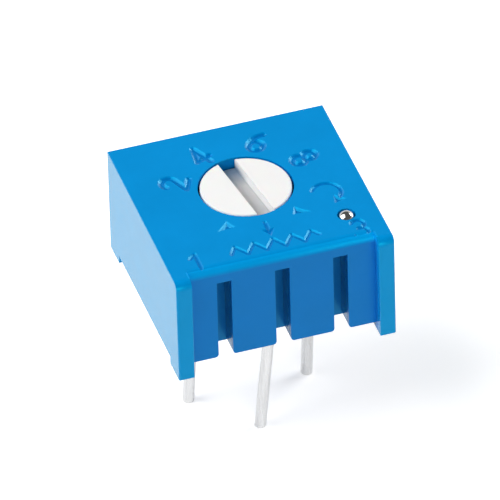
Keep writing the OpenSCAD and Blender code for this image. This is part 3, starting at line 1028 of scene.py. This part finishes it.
@dataclass
class Marks:
    """The sunk signs in the case's top, each as closed solids to cut it with.

    A zigzag line stands for the resistance track, an arrow for the wiper, and two small heads for the ends
    of its travel. Plain numerals mark the outer leads and a dial round the rotor, and a curved arrow shows
    which way the wiper moves to the right-hand lead.
    """

    half_w: float = 0.12
    depth: float = 0.075
    dial_half_w: float = 0.17
    dial_depth: float = 0.1
    pocket_inset: float = 0.13
    pocket_depth: float = 0.1
    zigzag_y: float = -3.43
    zigzag_rise: float = 0.6
    zigzag_tops: tuple[float, float] = (-1.69, 1.63)
    zigzag_corners: int = 9
    zigzag_ends: tuple[tuple[float, float], tuple[float, float]] = ((-1.95, -3.57), (1.9, -3.47))
    leads: tuple[Numeral, ...] = (
        Numeral(Glyph.ONE, (-3.45, -3.6), 1.4),
        Numeral(Glyph.THREE, (3.6, -3.68), 1.35),
    )
    dial: tuple[Numeral, ...] = (
        Numeral(Glyph.TWO, (-2.75, 1.75), 1.45, 66),
        Numeral(Glyph.FOUR, (-1.2, 3.15), 1.45, 25),
        Numeral(Glyph.SIX, (1.35, 3.25), 1.45, -27),
        Numeral(Glyph.EIGHT, (2.9, 1.6), 1.45, -70),
    )

    def tools(self, z: float) -> list[bpy.types.Mesh]:
        """Builds the cutting solids of all the marks.

        Args:
            z: Height of the case's top face.

        Returns:
            One closed mesh for each stroke or head.
        """
        parts = [self.zigzag(z), *self.wiper_arrow(z), *self.end_heads(z), *self.turn_arrow(z)]
        for numeral in self.leads:
            parts += self.strokes(numeral, z, self.half_w, self.depth)
        for numeral in self.dial:
            parts += self.strokes(numeral, z, self.dial_half_w, self.dial_depth)
        LOG.info("marks: %d strokes and heads", len(parts))
        return [mesh_of("mark", part) for part in parts]

    def line(self, path: np.ndarray, z: float) -> Grid:
        """One sunk line of the signs' own width and depth."""
        return groove(path, z, self.half_w, self.depth)

    def head(self, corners: np.ndarray, z: float) -> Grid:
        """One sunk arrow head, whose corners are put in counter-clockwise order."""
        after = np.roll(corners, -1, axis=0)
        clockwise = (corners[:, 0] * after[:, 1] - corners[:, 1] * after[:, 0]).sum() < 0
        return pocket(corners[::-1] if clockwise else corners, z, self.pocket_inset, self.pocket_depth)

    def zigzag(self, z: float) -> Grid:
        """The zigzag: corners at even steps along X, above and below the middle line by turns."""
        x = np.linspace(*self.zigzag_tops, self.zigzag_corners)
        y = self.zigzag_y - self.zigzag_rise / 2 * np.where(np.arange(self.zigzag_corners) % 2, 1.0, -1.0)
        first, last = self.zigzag_ends
        return self.line(np.concatenate([[first], np.stack([x, y], axis=-1), [last]]), z)

    def wiper_arrow(self, z: float) -> list[Grid]:
        """The wiper's arrow: a shaft in front of the rotor and a head that points at the zigzag."""
        shaft = np.array([[0.0, -2.0], [0.0, -2.5]])
        head = np.array([[-0.29, -2.42], [0.0, -2.94], [0.29, -2.42]])
        return [self.line(shaft, z), self.head(head, z)]

    def end_heads(self, z: float) -> list[Grid]:
        """The two small heads beside the rotor, mirrored about the middle."""
        left = np.array([[-1.48, -1.37], [-2.04, -1.93], [-1.26, -1.86]])
        return [self.head(left, z), self.head(left * [-1, 1], z)]

    def turn_arrow(self, z: float) -> list[Grid]:
        """The curved arrow at the right: part of a circle, with a head at its clockwise end."""
        middle, radius, start, end = np.array((3.05, -0.95)), 0.62, 150, -40
        head_turn, head_half_w, head_length, steps = 4, 0.3, 0.51, 14
        a = math.radians(end - head_turn)
        out = np.array([math.cos(a), math.sin(a)])
        at, on = middle + radius * out, -across(out)
        head = np.array([at + head_half_w * out, at - head_half_w * out, at + head_length * on])
        return [self.line(arc(middle, radius, start, end, steps), z), self.head(head, z)]

    def strokes(self, numeral: Numeral, z: float, half_w: float, depth: float) -> list[Grid]:
        """The sunk lines of one numeral, scaled to its height, turned and moved to its middle."""
        turn = turn_matrix(numeral.turn_deg)
        size = numeral.height - 2 * half_w
        return [groove(np.array(corners) * size @ turn + numeral.middle, z, half_w, depth, closed)
                for corners, closed in numeral.glyph.value]


def dress_inside() -> None:
    """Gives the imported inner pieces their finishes."""
    finishes = {
        SEAL_RUBBER: ["o_ring"],
        SPRING_METAL: ["wiper_spring"],
        CERAMIC: ["ceramic_substrate"],
        RESISTIVE_FILM: ["resistance_track"],
        CONDUCTOR_FILM: ["end_pad_1", "end_pad_3", "collector_pad"],
        SOLDER: ["solder_joint_1", "solder_joint_2", "solder_joint_3"],
        SEAL_RESIN: ["base_seal"],
    }
    for finish, nodes in finishes.items():
        material = finish.material()
        for node in nodes:
            for place in frame["nodes"][node].material_slots:
                place.material = material
            LOG.info("%s: packed solid in %s", node, finish.name)


# ---- Studio ----


@dataclass(frozen=True)
class Lamp:
    """A square soft lamp that points at the part."""

    name: str
    azimuth_deg: float
    elevation_deg: float
    distance: float
    side: float
    power: float

    def build(self, aim: Vector) -> None:
        """Adds the lamp.

        Args:
            aim: The place that it points at, in metres.
        """
        data = bpy.data.lights.new(self.name, "AREA")
        data.size = self.side * MM
        data.energy = self.power
        lamp = placed(self.name, data)
        back = direction(self.azimuth_deg, self.elevation_deg)
        lamp.location = aim + back * self.distance * MM
        lamp.rotation_euler = (-back).to_track_quat("-Z", "Y").to_euler()


def direction(azimuth_deg: float, elevation_deg: float) -> Vector:
    """Unit vector from the part to a place: azimuth 0 is the front, -90 the left, and elevation is up."""
    a, e = math.radians(azimuth_deg), math.radians(elevation_deg)
    return Vector((math.sin(a) * math.cos(e), -math.cos(a) * math.cos(e), math.sin(e)))


@dataclass(frozen=True)
class Studio:
    """Camera, pale floor, bright surroundings and soft lamps."""

    azimuth_deg: float = -17.03
    elevation_deg: float = 38.71
    roll_deg: float = 1.61
    lens: float = 827.0
    sensor: float = 36.0
    clip: tuple[float, float] = (10.0, 10000.0)
    distance: float = 482.8
    aim: Point = (0.268, 1.098, 6.698)
    floor_side: float = 4000.0
    floor_shade: float = 0.7
    floor_roughness: float = 0.9
    camera_shade: float = 1.0
    camera_lift: float = 0.36
    glossy_shade: float = 0.9
    glossy_lift: float = 0.4
    sky: float = 0.2
    ceiling: float = 0.12
    fade: tuple[float, float] = (0.3, 0.5)
    lamps: tuple[Lamp, ...] = (
        Lamp("left_lamp", -99, 46, 500, 460, 2.4),
        Lamp("right_lamp", 106, 30, 500, 300, 1.35),
        Lamp("front_lamp", -5, 14, 600, 300, 0.9),
    )

    def build(self) -> None:
        """Builds the studio round the part."""
        aim = Vector(self.aim) * MM
        self.add_camera(aim)
        self.add_floor()
        self.light_sky()
        for lamp in self.lamps:
            lamp.build(aim)

    def add_camera(self, aim: Vector) -> None:
        """Adds the camera.

        Args:
            aim: The place in the middle of its view, in metres.
        """
        data = bpy.data.cameras.new("camera")
        data.lens = self.lens
        data.sensor_width = self.sensor
        data.clip_start, data.clip_end = (distance * MM for distance in self.clip)
        camera = placed("camera", data)
        back = direction(self.azimuth_deg, self.elevation_deg)
        turn = (-back).to_track_quat("-Z", "Y").to_matrix()
        camera.rotation_euler = (turn @ Matrix.Rotation(math.radians(-self.roll_deg), 3, "Z")).to_euler()
        camera.location = aim + back * self.distance * MM
        bpy.context.scene.camera = camera

    def add_floor(self) -> None:
        """Adds the floor, which shows white in the light and keeps the part's shadow.

        Its shade is its own for the light, and brighter for camera rays and glossy rays, which also see it
        glow by their own lift. It is clear from below.
        """
        half = self.floor_side / 2
        corners = np.column_stack([rectangle(half, half), np.zeros(4)]) * MM
        mesh = bpy.data.meshes.new("studio_floor")
        mesh.from_pydata(corners.tolist(), [], [[0, 1, 2, 3]])
        floor = placed("studio_floor", mesh)
        shader = Shader("studio_floor")
        nodes = shader.nodes
        rays = nodes.add("LightPath").outputs
        lift, shade = 0.0, self.floor_shade
        for ray, ray_lift, ray_shade in (
            (rays["Is Camera Ray"], self.camera_lift, self.camera_shade),
            (rays["Is Glossy Ray"], self.glossy_lift, self.glossy_shade),
        ):
            lift = nodes.math("MULTIPLY_ADD", ray, ray_lift, lift)
            shade = nodes.math("MULTIPLY_ADD", ray, ray_shade - self.floor_shade, shade)
        shader.put({
            "Base Color": nodes.add("CombineColor", {0: shade, 1: shade, 2: shade}).outputs[0],
            "Roughness": self.floor_roughness, "Specular IOR Level": 0.0, "Emission Color": WHITE,
            "Emission Strength": lift,
        })
        below = nodes.add("NewGeometry").outputs["Backfacing"]
        clear = nodes.add("BsdfTransparent").outputs[0]
        mixed = nodes.add("MixShader", {0: below, 1: shader.surface.outputs[0], 2: clear}).outputs[0]
        nodes.put(nodes.tree.nodes["Material Output"], {"Surface": mixed})
        mesh.materials.append(shader.material)

    def light_sky(self) -> None:
        """Lights the part from all round, and shows a white background.

        Reflections see a bright band low down, which fades into a dim ceiling between two heights. Height
        is the upward part of the direction, from 0 at the horizon to 1 overhead.
        """
        world = bpy.data.worlds.new("studio_sky")
        world.use_nodes = True
        bpy.context.scene.world = world
        nodes = Nodes(world.node_tree)
        rays = nodes.add("LightPath").outputs
        camera, glossy = rays["Is Camera Ray"], rays["Is Glossy Ray"]
        up = nodes.add("SeparateXYZ", {0: nodes.add("TexCoord").outputs["Generated"]}).outputs[2]
        seen = nodes.math("MULTIPLY_ADD", nodes.spread(up, *self.fade, 1.0, self.ceiling), glossy, camera)
        lit = nodes.math("SUBTRACT", 1.0, nodes.math("MAXIMUM", glossy, camera))
        strength = nodes.math("MULTIPLY_ADD", lit, self.sky, seen)
        nodes.put(nodes.tree.nodes["Background"], {"Color": WHITE, "Strength": strength})


def main() -> None:
    """Builds the part's looks and the studio."""
    logging.basicConfig(level=logging.INFO, format="%(name)s: %(message)s")
    bpy.context.scene.view_settings.view_transform = "Standard"
    Studio().build()
    Case().build()
    Rotor().build()
    Leads().build()
    VentBall().build()
    dress_inside()


if __name__ == "__main__":
    main()
